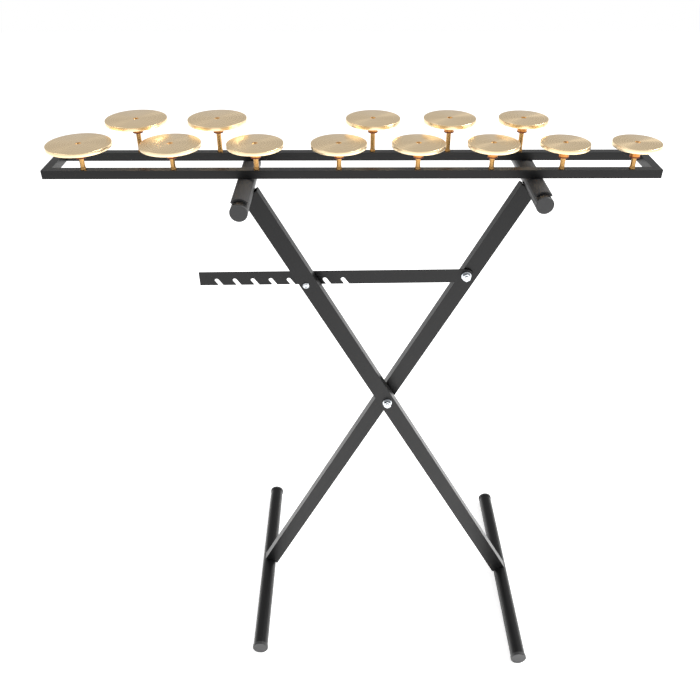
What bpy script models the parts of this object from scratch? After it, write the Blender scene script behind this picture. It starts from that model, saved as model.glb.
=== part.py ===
"""Crotales: thirteen tuned bronze discs on a tray, carried by a folding X-stand with a slotted height bar.

Metres, +Z up. +X points right as the audience sees the stand, and +Y points away from the audience.
The origin lies on the floor, under the middle of the tray and midway between the two legs.
"""

import math

import bmesh
import bpy
from mathutils import Matrix, Vector

MM = 0.001

# Fits
GAP = 0.3 * MM  # between two pieces that rest on one another
BOLT_CLEARANCE = 0.3 * MM  # radial, round a bolt, a screw or a post in its hole
PLUG_CLEARANCE = 0.3 * MM  # radial, round an end plug in its tube
CUT_MARGIN = 1.0 * MM  # how far a cutter runs past the wall it cuts

# Legs: rectangular tubes that cross on the pivot bolt
PIVOT_X = 69.0 * MM  # the stand's pivot sits to the right of the tray's middle
PIVOT_HEIGHT = 517.0 * MM
FRONT_LEAN = math.radians(28.9)  # from upright, the front leg's top leans left
BACK_LEAN = math.radians(27.6)  # from upright, the back leg's top leans right
LEG_WIDTH = 30.0 * MM
LEG_DEPTH = 18.0 * MM
LEG_WALL = 1.5 * MM
LEG_GAP = 9.0 * MM  # between the two legs, filled at the pivot by a spacer bush
SADDLE_DEPTH = 3.0 * MM  # how far a leg's end reaches round the tube it is welded to

# Foot tubes and their end plugs
FOOT_RADIUS = 15.0 * MM
FOOT_WALL = 1.5 * MM
FOOT_LENGTH = 450.0 * MM
FOOT_CAP_RADIUS = 16.0 * MM  # the flange that touches the floor
FOOT_CAP_THICKNESS = 6.0 * MM
FOOT_PLUG_LENGTH = 18.0 * MM

# Support tubes across the top, their end plugs and rubber pads
SUPPORT_HEIGHT = 954.8 * MM
SUPPORT_RADIUS = 14.0 * MM
SUPPORT_WALL = 1.5 * MM
SUPPORT_LENGTH = 210.0 * MM
SUPPORT_FRONT = 100.0 * MM  # from the leg's middle plane to the tube's front end
SUPPORT_CAP_RADIUS = 14.25 * MM
SUPPORT_CAP_THICKNESS = 3.0 * MM
SUPPORT_PLUG_LENGTH = 14.0 * MM
PAD_THICKNESS = 3.0 * MM
PAD_INSET = 12.0 * MM  # from each end of the support tube
PAD_HALF_WRAP = math.radians(52.0)
CAP_CHAMFER = 0.8 * MM

# Tray: four rails of square tube with mitred corners
TRAY_END = 48.0 * MM  # from the last post to the tray's right end
RAIL_SIZE = 14.0 * MM
RAIL_WALL = 1.5 * MM
RAIL_SPACING = 83.0 * MM  # front rail's centre to back rail's centre
FRONT_RAIL_OFFSET = -1.0 * MM  # from the front leg's middle plane
ACCESS_RADIUS = 5.0 * MM  # hole under each post, for the screwdriver

# Posts, each turned in one with its screw, washer and collar
FRONT_SHOULDER = 18.8 * MM  # height of the post's shoulder above its foot, front row
BACK_SHOULDER = 32.1 * MM
POST_RADIUS = 3.9 * MM
POST_TIP_RADIUS = 3.25 * MM
POST_FOOT_RADIUS = 4.75 * MM
POST_FOOT_HEIGHT = 1.5 * MM
POST_FLARE_HEIGHT = 5.0 * MM
TIP_BELOW_DISC = 1.5 * MM  # how far the tip ends under the thinnest disc's upper face
COLLAR_RADIUS = 7.9 * MM
COLLAR_HEIGHT = 15.5 * MM
WASHER_RADIUS = 8.3 * MM
WASHER_HEIGHT = 1.5 * MM
SCREW_RADIUS = 2.5 * MM
SCREW_HEAD_RADIUS = 4.75 * MM
SCREW_HEAD_HEIGHT = 3.7 * MM

# Discs: each note's name, place from the tray's left end, diameter and row, in rising pitch
NOTES = (
    ("c_low", 67.0 * MM, 101.5 * MM, "front"),
    ("c_sharp", 140.5 * MM, 100.5 * MM, "back"),
    ("d", 211.0 * MM, 96.0 * MM, "front"),
    ("d_sharp", 274.5 * MM, 97.0 * MM, "back"),
    ("e", 344.0 * MM, 90.0 * MM, "front"),
    ("f", 476.0 * MM, 89.0 * MM, "front"),
    ("f_sharp", 532.0 * MM, 90.0 * MM, "back"),
    ("g", 602.0 * MM, 85.0 * MM, "front"),
    ("g_sharp", 659.0 * MM, 86.5 * MM, "back"),
    ("a", 720.0 * MM, 82.0 * MM, "front"),
    ("a_sharp", 781.0 * MM, 81.5 * MM, "back"),
    ("b", 833.0 * MM, 78.0 * MM, "front"),
    ("c_high", 946.0 * MM, 76.5 * MM, "front"),
)
LOWEST_PITCH = 2093.0  # hertz, the lowest C of the set
PLATE_CONSTANT = 912.2  # metres per second: pitch of a free bronze plate, times radius squared, over thickness
DISC_CHAMFER = 0.6 * MM
RECESS_RADIUS = 4.3 * MM
RECESS_DEPTH = 2.0 * MM

# Height bar: a flat bar pinned to the back leg, with slots that hook over the catch bolt
BAR_WIDTH = 25.0 * MM
BAR_THICKNESS = 3.0 * MM
BAR_LENGTH = 473.0 * MM  # from its bolt to its square left end
SLOT_COUNT = 8
SLOT_PITCH = 32.0 * MM
SLOT_WIDTH = 8.0 * MM
SLOT_DROP = 3.6 * MM  # the closed end's centre lies under the bar's centreline
SLOT_ANGLE = math.radians(55.0)  # under the bar's centreline, down to the right
HOOKED_SLOT = 6  # counted from the left end
BAR_BOLT_UP = 298.0 * MM  # along the back leg, from the pivot
BAR_BOLT_OFFSET = -5.0 * MM  # across the back leg
CATCH_UP = 300.0 * MM  # along the front leg, from the pivot
CATCH_OFFSET = -5.0 * MM  # across the front leg

# Bolts, nuts and their washers
BOLT_RADIUS = 4.0 * MM
BOLT_FLATS = 13.0 * MM
BOLT_HEAD = 5.3 * MM
NUT_HEIGHT = 6.5 * MM
THREAD_PROUD = 2.0 * MM
BOLT_WASHER_RADIUS = 8.75 * MM
BOLT_WASHER_THICKNESS = 1.3 * MM
SPACER_RADIUS = 10.0 * MM
CATCH_RADIUS = 3.0 * MM
CATCH_HEAD_RADIUS = 5.75 * MM
CATCH_HEAD_HEIGHT = 3.3 * MM
CATCH_SOCKET_RADIUS = 2.2 * MM
CATCH_SOCKET_DEPTH = 1.8 * MM
CATCH_NUT_FLATS = 10.0 * MM
CATCH_NUT_HEIGHT = 4.0 * MM
CATCH_PROUD = 3.3 * MM  # past the bar's back face

# Facets round the turned pieces
TUBE_SEGMENTS = 24
DISC_SEGMENTS = 24
SMALL_SEGMENTS = 12
POST_SEGMENTS = 8

# Colour, roughness and metallic value of each finish
FINISHES = {
    "black_enamel": ((0.012, 0.012, 0.013), 0.28, 0.0),
    "bronze": ((0.86, 0.74, 0.52), 0.24, 1.0),
    "post_brass": ((0.55, 0.38, 0.16), 0.28, 1.0),
    "black_rubber": ((0.03, 0.03, 0.032), 0.7, 0.0),
    "black_plastic": ((0.02, 0.02, 0.021), 0.5, 0.0),
    "zinc": ((0.75, 0.76, 0.78), 0.3, 1.0),
}

# Places that follow from the sizes
LEG_SPACING = LEG_DEPTH + LEG_GAP
TRAY_LENGTH = NOTES[-1][1] + TRAY_END
FRONT_LEG_Y = -LEG_SPACING / 2
BACK_LEG_Y = LEG_SPACING / 2
FRONT_LEG_BACK = FRONT_LEG_Y + LEG_DEPTH / 2
BACK_LEG_FRONT = BACK_LEG_Y - LEG_DEPTH / 2
FOOT_REACH = PIVOT_HEIGHT - FOOT_CAP_RADIUS  # pivot down to the foot tubes' axes
SUPPORT_REACH = SUPPORT_HEIGHT - PIVOT_HEIGHT
RAIL_BOTTOM = SUPPORT_HEIGHT + SUPPORT_RADIUS + GAP + PAD_THICKNESS + GAP
RAIL_TOP = RAIL_BOTTOM + RAIL_SIZE
FRONT_RAIL_Y = FRONT_LEG_Y + FRONT_RAIL_OFFSET
BACK_RAIL_Y = FRONT_RAIL_Y + RAIL_SPACING
PIVOT = Vector((PIVOT_X, 0.0, PIVOT_HEIGHT))
FRONT_FACING = math.pi / 2  # turns a piece's own +Z to world -Y
BACK_FACING = -math.pi / 2  # turns a piece's own +Z to world +Y


def clear_scene():
    """Remove whatever the file opened with."""
    for item in list(bpy.data.objects):
        bpy.data.objects.remove(item, do_unlink=True)


def new_material(name, finish):
    """Principled material with the named finish's colour, roughness and metallic value."""
    colour, roughness, metallic = FINISHES[finish]
    material = bpy.data.materials.new(name)
    material.use_nodes = True
    shader = material.node_tree.nodes["Principled BSDF"]
    shader.inputs["Base Color"].default_value = (*colour, 1.0)
    shader.inputs["Roughness"].default_value = roughness
    shader.inputs["Metallic"].default_value = metallic
    material.diffuse_color = (*colour, 1.0)
    return material


def add_object(name, mesh, place, parent, turn=(0.0, 0.0, 0.0)):
    """Link an object at a world place; its parent empty is unturned, so only places subtract."""
    item = bpy.data.objects.new(name, mesh)
    bpy.context.collection.objects.link(item)
    item.parent = parent
    item.location = Vector(place) - parent.location
    item.rotation_euler = turn
    return item


def add_empty(name, place):
    """Empty on a joint's axis, which carries the pieces that move together."""
    item = bpy.data.objects.new(name, None)
    bpy.context.collection.objects.link(item)
    item.location = place
    return item


def finish_mesh(name, bm, finish=None):
    """Turn a bmesh into a mesh with outward faces, smooth round faces and, if asked, its material."""
    bmesh.ops.recalc_face_normals(bm, faces=bm.faces)
    mesh = bpy.data.meshes.new(name)
    bm.to_mesh(mesh)
    bm.free()
    mesh.shade_smooth()
    mesh.set_sharp_from_angle(angle=math.radians(35.0))
    if finish:
        mesh.materials.append(new_material(name, finish))
    return mesh


def cut(item, bm):
    """Cut a piece with a bmesh given in the piece's own coordinates."""
    cutter = bpy.data.objects.new(f"{item.name}_cutter", finish_mesh(f"{item.name}_cutter", bm))
    bpy.context.collection.objects.link(cutter)
    cutter.parent = item.parent
    cutter.location = item.location
    cutter.rotation_euler = item.rotation_euler
    cutter.hide_render = True
    cutter.display_type = "WIRE"
    modifier = item.modifiers.new("holes", "BOOLEAN")
    modifier.operation = "DIFFERENCE"
    modifier.solver = "EXACT"
    modifier.object = cutter


def loft(bm, rings, hollow=False):
    """Skin a run of rings of equal count; a hollow run closes on itself, others get end faces."""
    loops = [[bm.verts.new(point) for point in ring] for ring in rings]
    count = len(loops[0])
    pairs = list(zip(loops, loops[1:]))
    if hollow:
        pairs.append((loops[-1], loops[0]))
    for lower, upper in pairs:
        for i in range(count):
            bm.faces.new((lower[i - 1], lower[i], upper[i], upper[i - 1]))
    if not hollow:
        bm.faces.new(loops[0])
        bm.faces.new(loops[-1])


def round_ring(radius, height, segments, centre=(0.0, 0.0)):
    """Points of a circle about an axis along Z."""
    points = []
    for i in range(segments):
        angle = math.tau * i / segments
        points.append((centre[0] + radius * math.cos(angle), centre[1] + radius * math.sin(angle), height))
    return points


def hexagon_ring(across_flats, height):
    """Points of a hexagon's corners and flat middles, as many as a small round ring has."""
    points = []
    for i in range(SMALL_SEGMENTS):
        angle = math.tau * i / SMALL_SEGMENTS
        from_flat = (angle + math.pi / 6) % (math.pi / 3) - math.pi / 6
        radius = across_flats / 2 / math.cos(from_flat)
        points.append((radius * math.cos(angle), radius * math.sin(angle), height))
    return points


def rectangle_ring(width, depth, height):
    """Points of a rectangle about an axis along Z."""
    x, y = width / 2, depth / 2
    return [(-x, -y, height), (x, -y, height), (x, y, height), (-x, y, height)]


def turned(bm, profile, segments, centre=(0.0, 0.0), hollow=False):
    """Solid of revolution about Z, from (radius, height) pairs."""
    loft(bm, [round_ring(radius, height, segments, centre) for radius, height in profile], hollow)


def ring_profile(bore, radius, low, high):
    """Profile of a plain ring, for a hollow turned piece."""
    return [(bore, low), (radius, low), (radius, high), (bore, high)]


def add_cross_cylinder(bm, radius, length, centre, segments=TUBE_SEGMENTS):
    """Closed cylinder along Y, as a cutter."""
    matrix = Matrix.Translation(centre) @ Matrix.Rotation(math.pi / 2, 4, "X")
    bmesh.ops.create_cone(
        bm, cap_ends=True, segments=segments, radius1=radius, radius2=radius, depth=length, matrix=matrix
    )


def leg_point(lean, across, along):
    """World X and Z of a point on a leg, from its distances across and along the leg from the pivot."""
    x = PIVOT_X + across * math.cos(lean) + along * math.sin(lean)
    z = PIVOT_HEIGHT - across * math.sin(lean) + along * math.cos(lean)
    return x, z


def disc_thickness(index, diameter):
    """Thickness that gives a free bronze disc its pitch, a semitone higher for each note."""
    pitch = LOWEST_PITCH * 2 ** (index / 12)
    return pitch * (diameter / 2) ** 2 / PLATE_CONSTANT


def row_values(row):
    """A row's rail place, post shoulder and thinnest disc."""
    rail_y = FRONT_RAIL_Y if row == "front" else BACK_RAIL_Y
    shoulder = FRONT_SHOULDER if row == "front" else BACK_SHOULDER
    thinnest = min(disc_thickness(i, note[2]) for i, note in enumerate(NOTES) if note[3] == row)
    return rail_y, shoulder, thinnest


def build_leg(name, lean, plane_y, bolt_across, bolt_along, bolt_radius, parent):
    """Rectangular tube on the pivot, with saddles at both ends and holes for its two bolts."""
    foot = -FOOT_REACH / math.cos(lean)
    support = SUPPORT_REACH / math.cos(lean)
    low = foot + FOOT_RADIUS - SADDLE_DEPTH
    high = support - SUPPORT_RADIUS + SADDLE_DEPTH
    inner_width, inner_depth = LEG_WIDTH - 2 * LEG_WALL, LEG_DEPTH - 2 * LEG_WALL
    bm = bmesh.new()
    rings = [
        rectangle_ring(LEG_WIDTH, LEG_DEPTH, low),
        rectangle_ring(LEG_WIDTH, LEG_DEPTH, high),
        rectangle_ring(inner_width, inner_depth, high),
        rectangle_ring(inner_width, inner_depth, low),
    ]
    loft(bm, rings, hollow=True)
    mesh = finish_mesh(name, bm, "black_enamel")
    leg = add_object(name, mesh, (PIVOT_X, plane_y, PIVOT_HEIGHT), parent, (0.0, lean, 0.0))

    through = LEG_DEPTH + 2 * CUT_MARGIN
    holes = bmesh.new()
    add_cross_cylinder(holes, FOOT_RADIUS + GAP, through, (0.0, 0.0, foot))
    add_cross_cylinder(holes, SUPPORT_RADIUS + GAP, through, (0.0, 0.0, support))
    add_cross_cylinder(holes, BOLT_RADIUS + BOLT_CLEARANCE, through, (0.0, 0.0, 0.0), SMALL_SEGMENTS)
    bolt_place = (bolt_across, 0.0, bolt_along)
    add_cross_cylinder(holes, bolt_radius + BOLT_CLEARANCE, through, bolt_place, SMALL_SEGMENTS)
    cut(leg, holes)


def build_tube(name, radius, wall, length, place, parent):
    """Round tube along Y, from its front end's place."""
    bm = bmesh.new()
    turned(bm, ring_profile(radius - wall, radius, 0.0, length), TUBE_SEGMENTS, hollow=True)
    add_object(name, finish_mesh(name, bm, "black_enamel"), place, parent, (BACK_FACING, 0.0, 0.0))


def build_cap(name, tube_bore, flange_radius, thickness, plug_length, place, facing, parent):
    """End plug whose flange covers the tube's end, and whose plug fills the bore."""
    face = GAP + thickness
    profile = [
        (tube_bore - PLUG_CLEARANCE, -plug_length),
        (tube_bore - PLUG_CLEARANCE, GAP),
        (flange_radius, GAP),
        (flange_radius, face - CAP_CHAMFER),
        (flange_radius - CAP_CHAMFER, face),
    ]
    bm = bmesh.new()
    turned(bm, profile, TUBE_SEGMENTS)
    add_object(name, finish_mesh(name, bm, "black_plastic"), place, parent, (facing, 0.0, 0.0))


def build_foot(side, lean, plane_y, parent):
    """Foot tube under a leg with a plug at each end."""
    x = PIVOT_X - math.tan(lean) * FOOT_REACH
    front_y = plane_y - FOOT_LENGTH / 2
    place = (x, front_y, FOOT_CAP_RADIUS)
    build_tube(f"{side}_foot_tube", FOOT_RADIUS, FOOT_WALL, FOOT_LENGTH, place, parent)
    sizes = (FOOT_RADIUS - FOOT_WALL, FOOT_CAP_RADIUS, FOOT_CAP_THICKNESS, FOOT_PLUG_LENGTH)
    build_cap(f"{side}_front_foot_cap", *sizes, place, FRONT_FACING, parent)
    back_place = (x, front_y + FOOT_LENGTH, FOOT_CAP_RADIUS)
    build_cap(f"{side}_back_foot_cap", *sizes, back_place, BACK_FACING, parent)


def build_support(side, lean, plane_y, parent):
    """Support tube on a leg's top, with a plug at each end and a rubber pad over it."""
    x = PIVOT_X + math.tan(lean) * SUPPORT_REACH
    front_y = plane_y - SUPPORT_FRONT
    place = (x, front_y, SUPPORT_HEIGHT)
    build_tube(f"{side}_support_tube", SUPPORT_RADIUS, SUPPORT_WALL, SUPPORT_LENGTH, place, parent)
    sizes = (SUPPORT_RADIUS - SUPPORT_WALL, SUPPORT_CAP_RADIUS, SUPPORT_CAP_THICKNESS, SUPPORT_PLUG_LENGTH)
    build_cap(f"{side}_front_support_cap", *sizes, place, FRONT_FACING, parent)
    back_place = (x, front_y + SUPPORT_LENGTH, SUPPORT_HEIGHT)
    build_cap(f"{side}_back_support_cap", *sizes, back_place, BACK_FACING, parent)
    build_pad(f"{side}_pad", place, parent)


def build_pad(name, place, parent):
    """Rubber strip bent over the top of a support tube."""
    steps = 8
    inner = SUPPORT_RADIUS + GAP
    outer = inner + PAD_THICKNESS
    near, far = PAD_INSET, SUPPORT_LENGTH - PAD_INSET
    rings = []
    for i in range(steps + 1):
        angle = PAD_HALF_WRAP * (2 * i / steps - 1)
        across, up = math.sin(angle), math.cos(angle)
        corners = ((inner, near), (outer, near), (outer, far), (inner, far))
        rings.append([(radius * across, y, radius * up) for radius, y in corners])
    bm = bmesh.new()
    loft(bm, rings)
    add_object(name, finish_mesh(name, bm, "black_rubber"), place, parent)


def build_nut(name, bore, across_flats, height, place, parent):
    """Hexagon nut whose own +Z points at world -Y, from the face that it bears on."""
    bm = bmesh.new()
    rings = [
        round_ring(bore, 0.0, SMALL_SEGMENTS),
        hexagon_ring(across_flats, 0.0),
        hexagon_ring(across_flats, height),
        round_ring(bore, height, SMALL_SEGMENTS),
    ]
    loft(bm, rings, hollow=True)
    add_object(name, finish_mesh(name, bm, "zinc"), place, parent, (FRONT_FACING, 0.0, 0.0))


def build_hex_bolt(name, length, place, parent):
    """Bolt from behind: its head's underside is at the place given, its shank runs to -Y."""
    bm = bmesh.new()
    rings = [
        round_ring(BOLT_RADIUS, length, SMALL_SEGMENTS),
        round_ring(BOLT_RADIUS, 0.0, SMALL_SEGMENTS),
        hexagon_ring(BOLT_FLATS, 0.0),
        hexagon_ring(BOLT_FLATS, -BOLT_HEAD),
    ]
    loft(bm, rings)
    add_object(name, finish_mesh(name, bm, "zinc"), place, parent, (FRONT_FACING, 0.0, 0.0))


def build_ring(name, radius, front_y, back_y, x, z, parent):
    """Washer or bush round an M8 bolt, between two world Y planes."""
    profile = ring_profile(BOLT_RADIUS + BOLT_CLEARANCE, radius, front_y, back_y)
    bm = bmesh.new()
    turned(bm, profile, 2 * SMALL_SEGMENTS, hollow=True)
    add_object(name, finish_mesh(name, bm, "zinc"), (x, 0.0, z), parent, (BACK_FACING, 0.0, 0.0))


def build_pivot(parent):
    """Bolt, nut, washers and spacer bush where the legs cross."""
    head_y = BACK_LEG_Y + LEG_DEPTH / 2 + GAP + BOLT_WASHER_THICKNESS + GAP
    front_washer_y = FRONT_LEG_Y - LEG_DEPTH / 2 - GAP - BOLT_WASHER_THICKNESS
    nut_y = front_washer_y - GAP
    length = head_y - (nut_y - NUT_HEIGHT - THREAD_PROUD)
    build_hex_bolt("pivot_bolt", length, (PIVOT_X, head_y, PIVOT_HEIGHT), parent)
    bore = BOLT_RADIUS + BOLT_CLEARANCE
    build_nut("pivot_nut", bore, BOLT_FLATS, NUT_HEIGHT, (PIVOT_X, nut_y, PIVOT_HEIGHT), parent)
    rings = (
        ("pivot_front_washer", BOLT_WASHER_RADIUS, front_washer_y, nut_y + GAP + BOLT_WASHER_THICKNESS),
        ("pivot_back_washer", BOLT_WASHER_RADIUS, head_y - GAP - BOLT_WASHER_THICKNESS, head_y - GAP),
        ("pivot_spacer", SPACER_RADIUS, FRONT_LEG_BACK + GAP, BACK_LEG_FRONT - GAP),
    )
    for name, radius, front_y, back_y in rings:
        build_ring(name, radius, front_y, back_y, PIVOT_X, PIVOT_HEIGHT, parent)


def bar_faces():
    """World Y of the height bar's front and back faces, in front of a thin washer on the back leg."""
    thin_washer = BOLT_WASHER_THICKNESS / 2
    back = BACK_LEG_FRONT - GAP - thin_washer - GAP
    return back - BAR_THICKNESS, back, thin_washer


def build_bar_bolt(x, z, parent):
    """Bolt, nut and washers that pin the height bar to the back leg."""
    bar_front, bar_back, thin_washer = bar_faces()
    head_y = BACK_LEG_Y + LEG_DEPTH / 2 + GAP
    front_washer_y = bar_front - GAP - BOLT_WASHER_THICKNESS
    nut_y = front_washer_y - GAP
    length = head_y - (nut_y - NUT_HEIGHT - THREAD_PROUD)
    build_hex_bolt("bar_bolt", length, (x, head_y, z), parent)
    bore = BOLT_RADIUS + BOLT_CLEARANCE
    build_nut("bar_nut", bore, BOLT_FLATS, NUT_HEIGHT, (x, nut_y, z), parent)
    front_back_y = front_washer_y + BOLT_WASHER_THICKNESS
    build_ring("bar_front_washer", BOLT_WASHER_RADIUS, front_washer_y, front_back_y, x, z, parent)
    thin_front_y = bar_back + GAP
    build_ring("bar_back_washer", BOLT_WASHER_RADIUS, thin_front_y, thin_front_y + thin_washer, x, z, parent)


def build_catch(x, z, parent):
    """Button-head bolt through the front leg, its nut, and the plain end that the bar hooks over."""
    bar_front, bar_back, _ = bar_faces()
    head_y = FRONT_LEG_Y - LEG_DEPTH / 2 - GAP
    end = bar_back + CATCH_PROUD - head_y
    bm = bmesh.new()
    profile = [
        (CATCH_RADIUS, end),
        (CATCH_RADIUS, 0.0),
        (CATCH_HEAD_RADIUS, 0.0),
        (CATCH_HEAD_RADIUS, -CATCH_HEAD_HEIGHT / 3),
        (CATCH_HEAD_RADIUS * 0.62, -CATCH_HEAD_HEIGHT),
        (CATCH_SOCKET_RADIUS, -CATCH_HEAD_HEIGHT),
        (CATCH_SOCKET_RADIUS, CATCH_SOCKET_DEPTH - CATCH_HEAD_HEIGHT),
    ]
    turned(bm, profile, SMALL_SEGMENTS)
    mesh = finish_mesh("catch_bolt", bm, "zinc")
    add_object("catch_bolt", mesh, (x, head_y, z), parent, (BACK_FACING, 0.0, 0.0))
    bore = CATCH_RADIUS + BOLT_CLEARANCE
    nut_y = FRONT_LEG_BACK + GAP + CATCH_NUT_HEIGHT
    build_nut("catch_nut", bore, CATCH_NUT_FLATS, CATCH_NUT_HEIGHT, (x, nut_y, z), parent)


def slot_outline(end_x, y):
    """Closed round end and open straight end of one slot, in the bar's own coordinates."""
    radius = SLOT_WIDTH / 2
    run = (BAR_WIDTH / 2 + SLOT_WIDTH) / math.sin(SLOT_ANGLE)
    along = Vector((math.cos(SLOT_ANGLE), 0.0, -math.sin(SLOT_ANGLE)))
    across = Vector((math.sin(SLOT_ANGLE), 0.0, math.cos(SLOT_ANGLE)))
    centre = Vector((end_x, y, -SLOT_DROP))
    steps = 8
    points = []
    for i in range(steps + 1):
        angle = math.pi * i / steps
        points.append(centre + across * (radius * math.cos(angle)) - along * (radius * math.sin(angle)))
    points.append(centre + along * run - across * radius)
    points.append(centre + along * run + across * radius)
    return points


def build_height_bar(bolt_x, bolt_z, catch_x, catch_z, parent):
    """Flat bar hooked on the catch bolt: its slope follows from where the bolt and the catch lie."""
    seat = SLOT_WIDTH / 2 - CATCH_RADIUS - GAP  # from the slot end's centre up to the catch's centre
    catch_drop = SLOT_DROP - seat * math.sin(SLOT_ANGLE)
    span = math.hypot(bolt_x - catch_x, bolt_z - catch_z)
    slope = math.atan2(bolt_z - catch_z, bolt_x - catch_x) - math.asin(catch_drop / span)
    hooked_x = -math.sqrt(span**2 - catch_drop**2) + seat * math.cos(SLOT_ANGLE)
    bar_front, bar_back, _ = bar_faces()

    half = BAR_WIDTH / 2
    steps = 12
    outlines = []
    for y in (bar_front, bar_back):
        outline = [(-BAR_LENGTH, y, half), (-BAR_LENGTH, y, -half)]
        for i in range(steps + 1):
            angle = math.pi * (i / steps - 0.5)
            outline.append((half * math.cos(angle), y, half * math.sin(angle)))
        outlines.append(outline)
    bm = bmesh.new()
    loft(bm, outlines)
    mesh = finish_mesh("height_bar", bm, "black_enamel")
    bar = add_object("height_bar", mesh, (bolt_x, 0.0, bolt_z), parent, (0.0, -slope, 0.0))

    holes = bmesh.new()
    middle = (bar_front + bar_back) / 2
    through = BAR_THICKNESS + 2 * CUT_MARGIN
    add_cross_cylinder(holes, BOLT_RADIUS + BOLT_CLEARANCE, through, (0.0, middle, 0.0), SMALL_SEGMENTS)
    for slot in range(1, SLOT_COUNT + 1):
        end_x = hooked_x + (slot - HOOKED_SLOT) * SLOT_PITCH
        near = slot_outline(end_x, bar_front - CUT_MARGIN)
        far = slot_outline(end_x, bar_back + CUT_MARGIN)
        loft(holes, [near, far])
    cut(bar, holes)


def mitred_ring(length, size, end):
    """Square of a half size at one end of a mitred tube along X; the outer side is -Y, end is -1 or +1."""
    half = RAIL_SIZE / 2
    mitre_gap = GAP / math.sqrt(2)
    points = []
    for y, z in ((-size, -size), (size, -size), (size, size), (-size, size)):
        x = length / 2 - (y + half) - mitre_gap
        points.append((end * x, y, z))
    return points


def build_rail(name, length, place, turn, post_places, parent):
    """Square tube with mitred ends; each post gets a screw hole above and an access hole below."""
    outer = RAIL_SIZE / 2
    inner = outer - RAIL_WALL
    bm = bmesh.new()
    rings = [
        mitred_ring(length, outer, -1),
        mitred_ring(length, outer, 1),
        mitred_ring(length, inner, 1),
        mitred_ring(length, inner, -1),
    ]
    loft(bm, rings, hollow=True)
    rail = add_object(name, finish_mesh(name, bm, "black_enamel"), place, parent, (0.0, 0.0, turn))
    if not post_places:
        return
    holes = bmesh.new()
    side = math.cos(turn)  # +1 on the front rail, -1 on the back rail, which is turned half round
    for x in post_places:
        centre = (side * x, 0.0)
        screw_hole = SCREW_RADIUS + BOLT_CLEARANCE
        turned(holes, [(screw_hole, inner - CUT_MARGIN), (screw_hole, outer + CUT_MARGIN)], SMALL_SEGMENTS, centre)
        turned(holes, [(ACCESS_RADIUS, -outer - CUT_MARGIN), (ACCESS_RADIUS, CUT_MARGIN - inner)],
               SMALL_SEGMENTS, centre)
    cut(rail, holes)


def note_x(distance):
    """World X of a post, from its distance along the tray."""
    return distance - TRAY_LENGTH / 2


def build_rails(parent):
    """The tray's four rails."""
    middle_z = RAIL_BOTTOM + RAIL_SIZE / 2
    front_posts = [note_x(distance) for _, distance, _, row in NOTES if row == "front"]
    back_posts = [note_x(distance) for _, distance, _, row in NOTES if row == "back"]
    build_rail("front_rail", TRAY_LENGTH, (0.0, FRONT_RAIL_Y, middle_z), 0.0, front_posts, parent)
    build_rail("back_rail", TRAY_LENGTH, (0.0, BACK_RAIL_Y, middle_z), math.pi, back_posts, parent)
    depth = RAIL_SPACING + RAIL_SIZE
    middle_y = (FRONT_RAIL_Y + BACK_RAIL_Y) / 2
    end_x = TRAY_LENGTH / 2 - RAIL_SIZE / 2
    build_rail("left_rail", depth, (-end_x, middle_y, middle_z), -math.pi / 2, (), parent)
    build_rail("right_rail", depth, (end_x, middle_y, middle_z), math.pi / 2, (), parent)


def build_disc(name, diameter, thickness, place, parent):
    """Flat turned disc with a small edge chamfer, a post bore and a recess round the post's tip."""
    radius = diameter / 2
    bore = POST_TIP_RADIUS + BOLT_CLEARANCE
    profile = [
        (bore, 0.0),
        (radius, 0.0),
        (radius, thickness - DISC_CHAMFER),
        (radius - DISC_CHAMFER, thickness),
        (RECESS_RADIUS, thickness),
        (RECESS_RADIUS, thickness - RECESS_DEPTH),
        (bore, thickness - RECESS_DEPTH),
    ]
    bm = bmesh.new()
    turned(bm, profile, DISC_SEGMENTS, hollow=True)
    add_object(name, finish_mesh(name, bm, "bronze"), place, parent)


def post_mesh(row):
    """Brass post of one row: screw in the rail, flared foot, washer, collar and the disc's tip."""
    _, shoulder, thinnest = row_values(row)
    head_top = -(GAP + RAIL_WALL + GAP)  # the screw's head lies under the rail's top wall
    collar_bottom = shoulder + WASHER_HEIGHT
    collar_top = collar_bottom + COLLAR_HEIGHT
    profile = [
        (SCREW_HEAD_RADIUS, head_top - SCREW_HEAD_HEIGHT),
        (SCREW_HEAD_RADIUS, head_top),
        (SCREW_RADIUS, head_top),
        (SCREW_RADIUS, 0.0),
        (POST_FOOT_RADIUS, 0.0),
        (POST_FOOT_RADIUS, POST_FOOT_HEIGHT),
        (POST_RADIUS, POST_FLARE_HEIGHT),
        (POST_RADIUS, shoulder),
        (WASHER_RADIUS, shoulder),
        (WASHER_RADIUS, collar_bottom),
        (COLLAR_RADIUS, collar_bottom),
        (COLLAR_RADIUS, collar_top),
        (POST_TIP_RADIUS, collar_top),
        (POST_TIP_RADIUS, collar_top + GAP + thinnest - TIP_BELOW_DISC),
    ]
    bm = bmesh.new()
    turned(bm, profile, POST_SEGMENTS)
    return finish_mesh(f"{row}_post", bm, "post_brass")


def build_notes(parent):
    """Every disc on its post, in rising pitch."""
    meshes = {"front": post_mesh("front"), "back": post_mesh("back")}
    foot_z = RAIL_TOP + GAP
    for index, (name, distance, diameter, row) in enumerate(NOTES):
        rail_y, shoulder, _ = row_values(row)
        x = note_x(distance)
        add_object(f"post_{name}", meshes[row], (x, rail_y, foot_z), parent)
        disc_z = foot_z + shoulder + WASHER_HEIGHT + COLLAR_HEIGHT + GAP
        thickness = disc_thickness(index, diameter)
        build_disc(f"disc_{name}", diameter, thickness, (x, rail_y, disc_z), parent)


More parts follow.
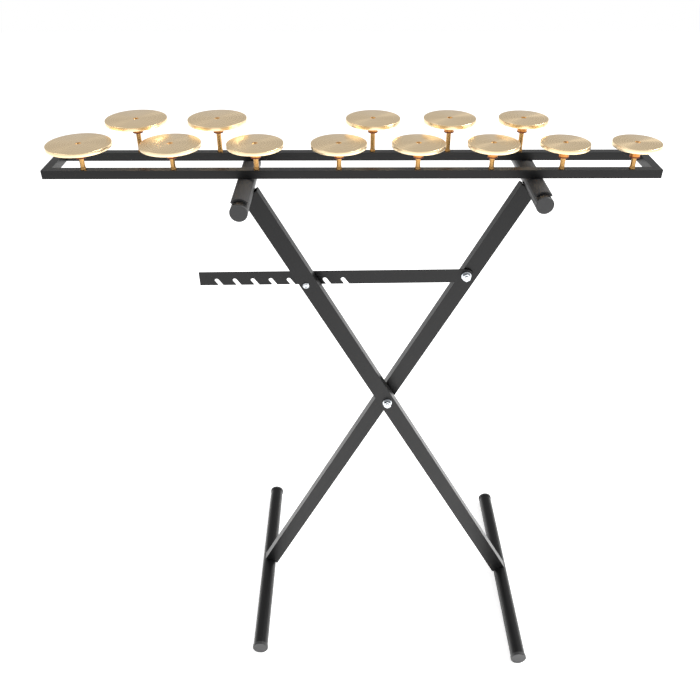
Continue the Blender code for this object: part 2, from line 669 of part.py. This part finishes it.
def main():
    """Build the stand's fixed half, its folding half, the height bar and the tray."""
    clear_scene()
    bar_x, bar_z = leg_point(BACK_LEAN, BAR_BOLT_OFFSET, BAR_BOLT_UP)
    catch_x, catch_z = leg_point(-FRONT_LEAN, CATCH_OFFSET, CATCH_UP)
    fixed = add_empty("fixed_half", PIVOT)
    folding = add_empty("fold_axis", PIVOT)
    bar_axis = add_empty("bar_axis", Vector((bar_x, 0.0, bar_z)))
    tray = add_empty("tray_seat", Vector((0.0, 0.0, RAIL_BOTTOM)))

    build_leg("front_leg", -FRONT_LEAN, FRONT_LEG_Y, CATCH_OFFSET, CATCH_UP, CATCH_RADIUS, fixed)
    build_foot("right", -FRONT_LEAN, FRONT_LEG_Y, fixed)
    build_support("left", -FRONT_LEAN, FRONT_LEG_Y, fixed)
    build_pivot(fixed)
    build_catch(catch_x, catch_z, fixed)

    build_leg("back_leg", BACK_LEAN, BACK_LEG_Y, BAR_BOLT_OFFSET, BAR_BOLT_UP, BOLT_RADIUS, folding)
    build_foot("left", BACK_LEAN, BACK_LEG_Y, folding)
    build_support("right", BACK_LEAN, BACK_LEG_Y, folding)
    build_bar_bolt(bar_x, bar_z, folding)

    build_height_bar(bar_x, bar_z, catch_x, catch_z, bar_axis)
    build_rails(tray)
    build_notes(tray)
    bpy.context.view_layer.update()


if __name__ == "__main__":
    main()
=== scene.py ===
"""Looks of the crotales: turned bronze discs on brass posts, over a tray on a black folding stand."""

from __future__ import annotations

import logging
import math
from collections.abc import Sequence
from dataclasses import dataclass, field
from enum import Enum

import bmesh
import bpy
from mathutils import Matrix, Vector

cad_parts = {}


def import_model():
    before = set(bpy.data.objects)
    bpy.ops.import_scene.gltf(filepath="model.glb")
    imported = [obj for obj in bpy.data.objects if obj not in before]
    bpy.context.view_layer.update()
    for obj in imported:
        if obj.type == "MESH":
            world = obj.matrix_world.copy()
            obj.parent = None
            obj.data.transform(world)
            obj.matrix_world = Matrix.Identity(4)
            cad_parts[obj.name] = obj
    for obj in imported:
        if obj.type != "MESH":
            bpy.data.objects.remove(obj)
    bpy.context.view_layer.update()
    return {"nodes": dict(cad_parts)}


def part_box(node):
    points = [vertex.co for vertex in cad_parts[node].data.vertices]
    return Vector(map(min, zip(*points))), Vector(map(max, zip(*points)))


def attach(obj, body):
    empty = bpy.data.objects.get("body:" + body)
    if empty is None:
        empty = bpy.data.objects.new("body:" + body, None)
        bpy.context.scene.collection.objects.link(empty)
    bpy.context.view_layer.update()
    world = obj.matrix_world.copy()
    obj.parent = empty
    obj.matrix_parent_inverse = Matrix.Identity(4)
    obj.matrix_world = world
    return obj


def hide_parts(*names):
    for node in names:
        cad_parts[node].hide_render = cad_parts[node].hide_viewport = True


MM = 0.001
LOG = logging.getLogger("crotales")

TRAY_BODY = "tray"  # the CAD body that discs, posts, washers and collars ride on
TURNING_MAP = "turning"  # UV map of turned pieces: share of a turn in U, radius in metres in V
SHARP_EDGE = math.radians(30)  # turned edges sharper than this stay crisp

# Sockets of a Mix node set to colour, which share their names with its sockets for other types.
MIX_FIRST = 6
MIX_SECOND = 7
MIX_RESULT = 2

NOTES = (
    "c_low", "c_sharp", "d", "d_sharp", "e", "f", "f_sharp",
    "g", "g_sharp", "a", "a_sharp", "b", "c_high",
)


class Slot(str, Enum):
    """Names of material slots that the made pieces are passed with."""

    BRONZE = "bronze"
    POST_BRASS = "post_brass"


def linear(code: str) -> tuple[float, float, float, float]:
    """Turn an sRGB hex colour into linear light, by the standard's own curve.

    Args:
        code: six hex digits.

    Returns:
        Red, green, blue and an alpha of 1.
    """
    channels = []
    for i in (0, 2, 4):
        value = int(code[i:i + 2], 16) / 255
        channels.append(value / 12.92 if value <= 0.04045 else ((value + 0.055) / 1.055) ** 2.4)
    return channels[0], channels[1], channels[2], 1.0


def add_node(
    tree: bpy.types.NodeTree,
    kind: str,
    settings: dict[str, object] | None = None,
    inputs: dict[str | int, object] | None = None,
) -> bpy.types.Node:
    """Add a node with its settings, input values and links.

    Args:
        tree: the node tree.
        kind: the node's type name.
        settings: attributes of the node.
        inputs: input name or number to a value, or to an output socket to link from.

    Returns:
        The new node.
    """
    node = tree.nodes.new(kind)
    for name, value in (settings or {}).items():
        setattr(node, name, value)
    for key, value in (inputs or {}).items():
        if isinstance(value, bpy.types.NodeSocket):
            tree.links.new(value, node.inputs[key])
        else:
            node.inputs[key].default_value = value
    return node


def new_material(name: str) -> bpy.types.Material:
    """Make a node material with an empty tree.

    Args:
        name: the finish's real name.

    Returns:
        The material.
    """
    material = bpy.data.materials.new(name)
    material.use_nodes = True
    material.node_tree.nodes.clear()
    return material


@dataclass(frozen=True)
class Finish:
    """A material by its real name, with its shader values and the grain that its making left.

    Broad clouds shift its tone and gloss a little, and the grain is a low relief over them.
    """

    name: str
    colour: str
    metallic: float
    roughness: float
    ior: float = 1.5
    specular: float = 0.5
    cloud_mm: float = 40.0
    cloud_detail: float = 4.0
    tone_spread: float = 0.15
    rough_spread: float = 0.06
    grain_mm: float = 1.0
    grain_detail: float = 3.0
    grain_depth: float = 0.05
    grain_height: float = 0.1 * MM

    def build(self) -> bpy.types.Material:
        """Make the material.

        Returns:
            A node material on Object coordinates.
        """
        material = new_material(self.name)
        tree = material.node_tree
        place = add_node(tree, "ShaderNodeTexCoord").outputs["Object"]
        clouds = add_node(
            tree,
            "ShaderNodeTexNoise",
            inputs={"Vector": place, "Scale": 1 / (self.cloud_mm * MM), "Detail": self.cloud_detail},
        )
        grain = add_node(
            tree,
            "ShaderNodeTexNoise",
            inputs={"Vector": place, "Scale": 1 / (self.grain_mm * MM), "Detail": self.grain_detail},
        )
        base = linear(self.colour)
        darker = tuple(channel * (1 - self.tone_spread) for channel in base[:3]) + (1.0,)
        tone = add_node(
            tree,
            "ShaderNodeMix",
            {"data_type": "RGBA"},
            {"Factor": clouds.outputs["Fac"], MIX_FIRST: darker, MIX_SECOND: base},
        )
        rough = add_node(
            tree,
            "ShaderNodeMapRange",
            inputs={
                "Value": clouds.outputs["Fac"],
                "To Min": self.roughness - self.rough_spread,
                "To Max": self.roughness + self.rough_spread,
            },
        )
        bump = add_node(
            tree,
            "ShaderNodeBump",
            inputs={
                "Height": grain.outputs["Fac"],
                "Strength": self.grain_depth,
                "Distance": self.grain_height,
            },
        )
        shader = add_node(
            tree,
            "ShaderNodeBsdfPrincipled",
            inputs={
                "Base Color": tone.outputs[MIX_RESULT],
                "Metallic": self.metallic,
                "Roughness": rough.outputs["Result"],
                "IOR": self.ior,
                "Specular IOR Level": self.specular,
                "Normal": bump.outputs["Normal"],
            },
        )
        add_node(tree, "ShaderNodeOutputMaterial", inputs={"Surface": shader.outputs["BSDF"]})
        return material


@dataclass(frozen=True)
class TurnedBronze:
    """Cymbal bronze, faced on a lathe.

    Its fine rings stretch each light across them, from the bore out to the rim, and shift tone and
    gloss from ring to ring.
    """

    name: str = "turned_cymbal_bronze"
    colour: str = "FAE6C4"
    ring_colour: str = "F0CF98"
    roughness: float = 0.26
    rough_below: float = 0.05
    rough_above: float = 0.08
    anisotropy: float = 0.75
    ring_mm: float = 0.9  # real tool marks are finer; drawn this coarse so that they show
    ring_detail: float = 4.0
    ring_depth: float = 0.12
    ring_height: float = 0.05 * MM

    def build(self) -> bpy.types.Material:
        """Make the material.

        Returns:
            A node material that reads the turning map.
        """
        material = new_material(self.name)
        tree = material.node_tree
        turning = add_node(tree, "ShaderNodeUVMap", {"uv_map": TURNING_MAP}).outputs["UV"]
        radius = add_node(tree, "ShaderNodeSeparateXYZ", inputs={"Vector": turning}).outputs["Y"]
        rings = add_node(
            tree,
            "ShaderNodeTexNoise",
            {"noise_dimensions": "1D"},
            {"W": radius, "Scale": 1 / (self.ring_mm * MM), "Detail": self.ring_detail},
        )
        tone = add_node(
            tree,
            "ShaderNodeMix",
            {"data_type": "RGBA"},
            {
                "Factor": rings.outputs["Fac"],
                MIX_FIRST: linear(self.ring_colour),
                MIX_SECOND: linear(self.colour),
            },
        )
        rough = add_node(
            tree,
            "ShaderNodeMapRange",
            inputs={
                "Value": rings.outputs["Fac"],
                "To Min": self.roughness - self.rough_below,
                "To Max": self.roughness + self.rough_above,
            },
        )
        bump = add_node(
            tree,
            "ShaderNodeBump",
            inputs={
                "Height": rings.outputs["Fac"],
                "Strength": self.ring_depth,
                "Distance": self.ring_height,
            },
        )
        tangent = add_node(
            tree, "ShaderNodeTangent", {"direction_type": "UV_MAP", "uv_map": TURNING_MAP}
        )
        shader = add_node(
            tree,
            "ShaderNodeBsdfPrincipled",
            inputs={
                "Base Color": tone.outputs[MIX_RESULT],
                "Metallic": 1.0,
                "Roughness": rough.outputs["Result"],
                "Anisotropic": self.anisotropy,
                "Normal": bump.outputs["Normal"],
                "Tangent": tangent.outputs["Tangent"],
            },
        )
        add_node(tree, "ShaderNodeOutputMaterial", inputs={"Surface": shader.outputs["BSDF"]})
        return material


# Sprayed and baked on drawn steel tube: near black, with a soft even sheen and a faint orange peel.
ENAMEL = Finish(
    "gloss_black_enamel_on_steel",
    "0A0A0B",
    metallic=0.0,
    roughness=0.38,
    specular=0.28,
    grain_mm=1.6,
    grain_depth=0.05,
)

# Moulded in a textured tool: a dull dark grey with hardly any highlight.
RUBBER = Finish(
    "moulded_black_rubber", "2C2C2D", metallic=0.0, roughness=0.75, grain_mm=0.8, grain_depth=0.3
)

# Moulded plugs: a shade lighter than the enamel, with a waxy half-gloss.
PLASTIC = Finish(
    "moulded_black_polythene", "242425", metallic=0.0, roughness=0.5, grain_mm=0.7, grain_depth=0.2
)

# Barrel plated: bright and bluish, a little blurred by the plate's fine crystals.
ZINC = Finish(
    "bright_zinc_plate_on_steel", "D2D6DA", metallic=1.0, roughness=0.28, grain_mm=0.8, grain_depth=0.15
)

# Turned from bar: yellow, with a narrow bright streak down each post.
POST_BRASS = Finish(
    "turned_free_cutting_brass", "C79A5E", metallic=1.0, roughness=0.25, grain_mm=0.5, grain_depth=0.15
)

# Turned and lacquered: the redder brass, which sets the collars off from posts and discs.
COLLAR_BRASS = Finish(
    "lacquered_red_brass", "CF8A4A", metallic=1.0, roughness=0.3, grain_mm=0.5, grain_depth=0.15
)

# Punched from pressed sheet: a matt dark red line under each collar.
FIBRE = Finish(
    "pressed_red_vulcanised_fibre", "6E2A18", metallic=0.0, roughness=0.55, grain_mm=0.6, grain_depth=0.3
)


@dataclass
class Palette:
    """Every finish on the instrument, built once."""

    bronze: bpy.types.Material = field(default_factory=TurnedBronze().build)
    enamel: bpy.types.Material = field(default_factory=ENAMEL.build)
    rubber: bpy.types.Material = field(default_factory=RUBBER.build)
    plastic: bpy.types.Material = field(default_factory=PLASTIC.build)
    zinc: bpy.types.Material = field(default_factory=ZINC.build)
    post_brass: bpy.types.Material = field(default_factory=POST_BRASS.build)
    collar_brass: bpy.types.Material = field(default_factory=COLLAR_BRASS.build)
    fibre: bpy.types.Material = field(default_factory=FIBRE.build)


def turned_mesh(
    name: str,
    profile: Sequence[tuple[float, float]],
    centre: Vector,
    segments: int,
    hollow: bool = False,
) -> bpy.types.Mesh:
    """Turn a profile about an upright axis, with a turning map on every side face.

    Args:
        name: the mesh's name.
        profile: (radius, height) points above the centre.
        centre: the axis's foot, in the frame.
        segments: faces round the axis.
        hollow: whether the profile closes on itself; otherwise both ends get a face.

    Returns:
        A closed mesh with outward faces.
    """
    bm = bmesh.new()
    turning = bm.loops.layers.uv.new(TURNING_MAP)
    rings = []
    for radius, height in profile:
        ring = []
        for i in range(segments):
            angle = math.tau * i / segments
            offset = Vector((radius * math.cos(angle), radius * math.sin(angle), height))
            ring.append(bm.verts.new(centre + offset))
        rings.append(ring)
    spans = list(zip(range(len(rings)), range(1, len(rings))))
    if hollow:
        spans.append((len(rings) - 1, 0))
    for low, high in spans:
        for i in range(segments):
            following = (i + 1) % segments
            corners = (rings[low][i], rings[low][following], rings[high][following], rings[high][i])
            face = bm.faces.new(corners)
            places = ((i, low), (i + 1, low), (i + 1, high), (i, high))
            for loop, (step, ring_number) in zip(face.loops, places):
                loop[turning].uv = (step / segments, profile[ring_number][0])
    if not hollow:
        bm.faces.new(reversed(rings[0]))
        bm.faces.new(rings[-1])
    bmesh.ops.recalc_face_normals(bm, faces=bm.faces)
    mesh = bpy.data.meshes.new(name)
    bm.to_mesh(mesh)
    bm.free()
    mesh.shade_smooth()
    mesh.set_sharp_from_angle(angle=SHARP_EDGE)
    return mesh


def add_piece(
    mesh: bpy.types.Mesh, material: bpy.types.Material, slot: Slot, *nodes: str
) -> bpy.types.Object:
    """Link a finished mesh, dress it and let it ride on the tray.

    Args:
        mesh: the piece's mesh, placed in the frame.
        material: its finish.
        slot: not used.
        nodes: CAD nodes that it stands for.

    Returns:
        The piece.
    """
    piece = bpy.data.objects.new(mesh.name, mesh)
    bpy.context.scene.collection.objects.link(piece)
    mesh.materials.append(material)
    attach(piece, TRAY_BODY)
    if nodes:
        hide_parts(*nodes)
    LOG.info("%s rides on %s", piece.name, TRAY_BODY)
    return piece


@dataclass
class TunedDiscs:
    """The thirteen discs, turned finer than their solids."""

    palette: Palette
    bore_radius: float = 3.55 * MM
    recess_radius: float = 4.3 * MM
    recess_depth: float = 2.0 * MM
    edge_round: float = 0.6 * MM
    edge_steps: int = 4
    segments: int = 160

    def profile(self, radius: float, thickness: float) -> list[tuple[float, float]]:
        """Draw a disc's section, from its bore round the rim to the recess about the post's tip.

        Args:
            radius: the disc's radius.
            thickness: its thickness.

        Returns:
            (radius, height) points that close on themselves.
        """
        points = [(self.bore_radius, 0.0), (radius - self.edge_round, 0.0)]
        lower = (self.edge_round, -math.pi / 2)
        upper = (thickness - self.edge_round, 0.0)
        for middle, start in (lower, upper):
            for i in range(self.edge_steps + 1):
                angle = start + math.pi / 2 * i / self.edge_steps
                across = radius - self.edge_round * (1 - math.cos(angle))
                points.append((across, middle + self.edge_round * math.sin(angle)))
        floor = thickness - self.recess_depth
        points += [(self.recess_radius, thickness), (self.recess_radius, floor), (self.bore_radius, floor)]
        return points

    def build(self) -> None:
        """Make every disc where its CAD node lies."""
        for note in NOTES:
            node = f"disc_{note}"
            low, high = (Vector(corner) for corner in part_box(node))
            centre = Vector(((low.x + high.x) / 2, (low.y + high.y) / 2, low.z))
            profile = self.profile((high.x - low.x) / 2, high.z - low.z)
            mesh = turned_mesh(f"{node}_turned", profile, centre, self.segments, hollow=True)
            add_piece(mesh, self.palette.bronze, Slot.BRONZE, node)


@dataclass
class DiscPosts:
    """Posts with their fibre washers and collars, each a turned piece of its own."""

    palette: Palette
    post_radius: float = 3.9 * MM
    tip_radius: float = 3.25 * MM
    foot_radius: float = 4.75 * MM
    foot_height: float = 1.5 * MM
    flare_middle: float = 2.4 * MM
    flare_height: float = 5.0 * MM
    screw_drop: float = 5.8 * MM  # the solid's screw head reaches this far under the post's foot
    washer_height: float = 1.5 * MM
    washer_radius: float = 8.3 * MM
    washer_edge: float = 0.25 * MM
    collar_radius: float = 7.9 * MM
    collar_height: float = 15.5 * MM
    collar_edge: float = 0.5 * MM
    tip_above_collar: float = 4.65 * MM  # the front row's; the back row's is 0.3 mm more
    tip_edge: float = 0.5 * MM
    segments: int = 48

    def build(self) -> None:
        """Make every post's pieces where its CAD node lies."""
        for note in NOTES:
            low, high = (Vector(corner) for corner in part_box(f"post_{note}"))
            foot = Vector(((low.x + high.x) / 2, (low.y + high.y) / 2, low.z + self.screw_drop))
            tip = high.z - foot.z
            collar_top = tip - self.tip_above_collar
            collar_bottom = collar_top - self.collar_height
            shoulder = collar_bottom - self.washer_height
            self.build_post(note, foot, shoulder, tip)
            washer = self.ring_profile(self.washer_radius, self.washer_edge, shoulder, collar_bottom)
            mesh = turned_mesh(f"washer_{note}", washer, foot, self.segments, hollow=True)
            add_piece(mesh, self.palette.fibre, Slot.POST_BRASS)
            collar = self.ring_profile(self.collar_radius, self.collar_edge, collar_bottom, collar_top)
            mesh = turned_mesh(f"collar_{note}", collar, foot, self.segments, hollow=True)
            add_piece(mesh, self.palette.collar_brass, Slot.POST_BRASS)

    def build_post(self, note: str, foot: Vector, shoulder: float, tip: float) -> None:
        """Turn the post itself, with its flared foot and a tip through the stack.

        Args:
            note: the disc's note.
            foot: where the post stands on its rail.
            shoulder: height of the step that the washer rests on.
            tip: height of the post's end.
        """
        profile = [
            (self.foot_radius, 0.0),
            (self.foot_radius, self.foot_height),
            ((self.foot_radius + self.post_radius) / 2, self.flare_middle),
            (self.post_radius, self.flare_height),
            (self.post_radius, shoulder),
            (self.tip_radius, shoulder),
            (self.tip_radius, tip - self.tip_edge),
            (self.tip_radius - self.tip_edge, tip),
        ]
        mesh = turned_mesh(f"post_{note}_turned", profile, foot, self.segments)
        add_piece(mesh, self.palette.post_brass, Slot.POST_BRASS, f"post_{note}")

    def ring_profile(
        self, radius: float, edge: float, bottom: float, top: float
    ) -> list[tuple[float, float]]:
        """Draw the section of a washer or collar that the post's tip passes through.

        Args:
            radius: its outer radius.
            edge: size of the chamfer on its outer corners.
            bottom: height of its lower face.
            top: height of its upper face.

        Returns:
            (radius, height) points that close on themselves.
        """
        return [
            (self.tip_radius, bottom),
            (radius - edge, bottom),
            (radius, bottom + edge),
            (radius, top - edge),
            (radius - edge, top),
            (self.tip_radius, top),
        ]


@dataclass
class Stand:
    """CAD nodes of the stand and tray that keep their shape and get their finish."""

    palette: Palette

    def finish_of(self, node: str) -> bpy.types.Material:
        """Pick a node's finish from what it is made of.

        Args:
            node: the CAD node's name.

        Returns:
            Its finish.
        """
        if node.endswith("cap"):
            return self.palette.plastic
        if node.endswith("pad"):
            return self.palette.rubber
        if node.startswith(("pivot_", "catch_", "bar_")):
            return self.palette.zinc
        return self.palette.enamel

    def build(self, nodes: dict[str, bpy.types.Object]) -> None:
        """Dress every node that isn't replaced.

        Args:
            nodes: the frame's CAD nodes by name.
        """
        for name, item in nodes.items():
            if name.startswith(("disc_", "post_")):
                continue
            material = self.finish_of(name)
            if not item.material_slots:
                item.data.materials.append(material)
            for material_slot in item.material_slots:
                material_slot.material = material
            LOG.info("%s wears %s", name, material.name)


@dataclass(frozen=True)
class Lamp:
    """A square soft lamp."""

    name: str
    place: tuple[float, float, float]
    size: float
    power: float


@dataclass
class Studio:
    """White floor and world, two soft lamps, and the camera at the photograph's angle."""

    camera_place: tuple[float, float, float] = (-0.0083, -1.1708, 1.4202)
    pitch_down: float = math.radians(34.158)
    yaw: float = math.radians(-0.24)
    focal_px: float = 749.1
    frame_px: float = 700.0
    sensor_mm: float = 36.0
    lamps: tuple[Lamp, ...] = (
        Lamp("key", (2.4, -0.1, 2.6), 1.2, 130.0),
        Lamp("fill", (-2.2, -0.6, 2.8), 1.4, 30.0),
    )
    lamp_aim: tuple[float, float, float] = (0.0, 0.0, 0.8)
    world_colour: str = "FFFFFF"
    world_light: float = 0.6
    world_seen: float = 1.0
    floor_colour: str = "F4F4F4"
    floor_glow: float = 0.55
    floor_half: float = 6.0

    def build(self) -> None:
        """Place everything that isn't the instrument."""
        self.add_camera()
        self.add_world()
        self.add_floor()
        for lamp in self.lamps:
            self.add_lamp(lamp)

    def add_camera(self) -> None:
        """Set the camera where the fit of the photograph puts it."""
        data = bpy.data.cameras.new("camera")
        data.sensor_width = self.sensor_mm
        data.lens = self.focal_px / self.frame_px * self.sensor_mm
        camera = bpy.data.objects.new("camera", data)
        camera.location = self.camera_place
        camera.rotation_euler = (math.pi / 2 - self.pitch_down, 0.0, self.yaw)
        bpy.context.scene.collection.objects.link(camera)
        bpy.context.scene.camera = camera

    def add_lamp(self, lamp: Lamp) -> None:
        """Hang a lamp so that it faces the tray.

        Args:
            lamp: its name, place, size and power.
        """
        data = bpy.data.lights.new(lamp.name, "AREA")
        data.size = lamp.size
        data.energy = lamp.power
        item = bpy.data.objects.new(lamp.name, data)
        item.location = lamp.place
        aim = Vector(self.lamp_aim) - item.location
        item.rotation_euler = aim.to_track_quat("-Z", "Y").to_euler()
        bpy.context.scene.collection.objects.link(item)

    def seen_by_camera(self, tree: bpy.types.NodeTree) -> bpy.types.NodeSocket:
        """Mask of the rays that come straight from the camera."""
        return add_node(tree, "ShaderNodeLightPath").outputs["Is Camera Ray"]

    def add_world(self) -> None:
        """Give even pale light that is plain white to the camera."""
        world = bpy.data.worlds.new("studio")
        world.use_nodes = True
        tree = world.node_tree
        tree.nodes.clear()
        strength = add_node(
            tree,
            "ShaderNodeMapRange",
            inputs={
                "Value": self.seen_by_camera(tree),
                "To Min": self.world_light,
                "To Max": self.world_seen,
            },
        )
        back = add_node(
            tree,
            "ShaderNodeBackground",
            inputs={"Color": linear(self.world_colour), "Strength": strength.outputs["Result"]},
        )
        add_node(tree, "ShaderNodeOutputWorld", inputs={"Surface": back.outputs["Background"]})
        bpy.context.scene.world = world

    def floor_material(self) -> bpy.types.Material:
        """Make matt white paint that glows a little to the camera and still shows the shadow.

        Returns:
            The floor's material.
        """
        material = new_material("matt_white_floor")
        tree = material.node_tree
        matt = add_node(tree, "ShaderNodeBsdfDiffuse", inputs={"Color": linear(self.floor_colour)})
        glow = add_node(tree, "ShaderNodeEmission", inputs={"Strength": self.floor_glow})
        lift = add_node(
            tree,
            "ShaderNodeMixShader",
            inputs={0: self.seen_by_camera(tree), 1: matt.outputs["BSDF"], 2: glow.outputs["Emission"]},
        )
        both = add_node(
            tree, "ShaderNodeAddShader", inputs={0: matt.outputs["BSDF"], 1: lift.outputs["Shader"]}
        )
        add_node(tree, "ShaderNodeOutputMaterial", inputs={"Surface": both.outputs["Shader"]})
        return material

    def add_floor(self) -> None:
        """Lay a wide pale floor that keeps the stand's soft shadow."""
        half = self.floor_half
        corners = [(-half, -half, 0.0), (half, -half, 0.0), (half, half, 0.0), (-half, half, 0.0)]
        mesh = bpy.data.meshes.new("floor")
        mesh.from_pydata(corners, [], [(0, 1, 2, 3)])
        mesh.materials.append(self.floor_material())
        floor = bpy.data.objects.new("floor", mesh)
        bpy.context.scene.collection.objects.link(floor)


def main() -> None:
    """Dress the stand, build the finer pieces and set up the studio."""
    logging.basicConfig(level=logging.INFO, format="%(message)s")
    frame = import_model()
    bpy.context.scene.view_settings.view_transform = "Standard"
    Studio().build()
    palette = Palette()
    Stand(palette).build(frame["nodes"])
    TunedDiscs(palette).build()
    DiscPosts(palette).build()


if __name__ == "__main__":
    main()
